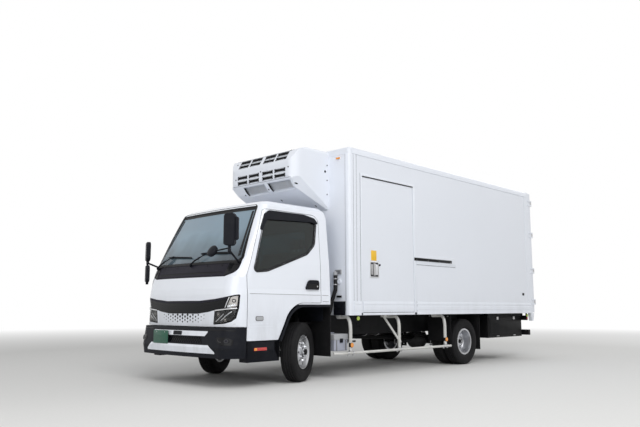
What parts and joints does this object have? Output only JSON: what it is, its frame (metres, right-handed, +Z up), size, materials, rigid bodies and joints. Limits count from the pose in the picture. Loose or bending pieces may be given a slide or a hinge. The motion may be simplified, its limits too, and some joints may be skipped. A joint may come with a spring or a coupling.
{
  "type": "refrigerated delivery truck, cab over engine, 7.5 t class",
  "caption": "White light-duty refrigerated truck: cab over engine, insulated box with side and rear doors, nose-mounted cooling unit.",
  "frame": {"origin": "on the ground under the middle of the overall length, on the centreline", "axes": "+Z up, front faces -Y, +X the vehicle's left"},
  "size_m": [2.24, 7.4949, 3.181],
  "materials": {
    "white_paint": "gloss white paint",
    "black_paint": "satin black chassis paint",
    "steel_rim": "silver paint",
    "steel": "bare and zinc-plated steel",
    "aluminium": "satin",
    "cast": "dark, rough",
    "tyre": "black tread",
    "rubber": "black",
    "black_plastic": "grained black",
    "grey_plastic": "grained grey",
    "white_plastic": "smooth white",
    "lamp": "clear lens over bright bowls",
    "tail_lamp": "red and amber lenses",
    "glass": "tinted glass",
    "seat_cloth": "woven seat cloth"
  },
  "bodies": {
    "root": {"cab_shell": "white_paint", "cab_glass": "glass", "cowl_panel": "black_plastic", "front_bumper": "black_plastic", "bumper_bars": "white_paint", "grille": "black_plastic", "headlamps": "lamp", "dashboard": "grey_plastic", "steering_wheel": "black_plastic", "mirrors": "black_plastic", "step_and_arch_trims": "black_plastic", "frame": "black_paint", "subframe": "black_paint", "engine_block": "cast", "driveshaft": "black_paint", "front_axle": "cast", "rear_axle": "cast", "leaf_springs": "black_paint", "battery_box": "grey_plastic", "fuel_tank": "black_paint", "exhaust": "steel", "side_guards": "aluminium", "mud_flaps": "rubber", "stowage_box": "black_paint", "rear_underrun": "black_paint", "tail_lamps": "tail_lamp", "box_floor": "aluminium", "box_wall_left": "white_paint", "box_wall_right": "white_paint", "box_front_wall": "white_paint", "box_roof": "white_paint", "box_rear_frame": "white_paint", "box_rear_posts": "white_paint", "side_door": "white_paint", "side_door_gear": "steel", "refrigeration_unit": "white_plastic", "evaporator": "grey_plastic", "unit_hose": "rubber", "seats": "seat_cloth"},
    "steer_left": {"knuckle_left": "cast"},
    "front_wheel_left": {"front_rim_left": "steel_rim", "front_tyre_left": "tyre"},
    "rear_wheel_left": {"rear_rims_left": "steel_rim", "rear_tyres_left": "tyre"},
    "cab_door_left": {"cab_door_left": "white_paint", "door_glass_left": "glass", "door_fittings_left": "black_plastic"},
    "rear_door_left": {"rear_door_left": "white_paint", "rear_door_gear_left": "steel"},
    "steer_right": {"knuckle_right": "cast"},
    "front_wheel_right": {"front_rim_right": "steel_rim", "front_tyre_right": "tyre"},
    "rear_wheel_right": {"rear_rims_right": "steel_rim", "rear_tyres_right": "tyre"},
    "cab_door_right": {"cab_door_right": "white_paint", "door_glass_right": "glass", "door_fittings_right": "black_plastic"},
    "rear_door_right": {"rear_door_right": "white_paint", "rear_door_gear_right": "steel"}
  },
  "joints": [
    {"name": "steering_left", "type": "hinge", "parent": "root", "child": "steer_left", "pos_m": [0.755, -2.4775, 0.3775], "axis": [0, 0, 1], "range_deg": [-62, 14]},
    {"name": "front_wheel_left_spin", "type": "hinge", "parent": "steer_left", "child": "front_wheel_left", "pos_m": [0.8258, -2.44598, 0.3775], "axis": [0.9135, 0.4067, 0], "continuous": true},
    {"name": "rear_wheel_left_spin", "type": "hinge", "parent": "root", "child": "rear_wheel_left", "pos_m": [0.78, 1.3175, 0.3775], "axis": [1, 0, 0], "continuous": true},
    {"name": "cab_door_left_hinge", "type": "hinge", "parent": "root", "child": "cab_door_left", "pos_m": [0.985, -3.4255, 1.2], "axis": [0, 0, -1], "range_deg": [0, 70]},
    {"name": "rear_door_left_hinge", "type": "hinge", "parent": "root", "child": "rear_door_left", "pos_m": [1.088, 3.7335, 2], "axis": [0, 0, -1], "range_deg": [0, 265]},
    {"name": "steering_right", "type": "hinge", "parent": "root", "child": "steer_right", "pos_m": [-0.755, -2.4775, 0.3775], "axis": [0, 0, 1], "range_deg": [-62, 14]},
    {"name": "front_wheel_right_spin", "type": "hinge", "parent": "steer_right", "child": "front_wheel_right", "pos_m": [-0.8258, -2.50902, 0.3775], "axis": [0.9135, 0.4067, 0], "continuous": true},
    {"name": "rear_wheel_right_spin", "type": "hinge", "parent": "root", "child": "rear_wheel_right", "pos_m": [-0.78, 1.3175, 0.3775], "axis": [1, 0, 0], "continuous": true},
    {"name": "cab_door_right_hinge", "type": "hinge", "parent": "root", "child": "cab_door_right", "pos_m": [-0.985, -3.4255, 1.2], "axis": [0, 0, 1], "range_deg": [0, 70]},
    {"name": "rear_door_right_hinge", "type": "hinge", "parent": "root", "child": "rear_door_right", "pos_m": [-1.088, 3.7335, 2], "axis": [0, 0, 1], "range_deg": [0, 265]}
  ],
  "couplings": [
    {"joint": "steering_right", "follows": "steering_left", "ratio": 1}
  ]
}
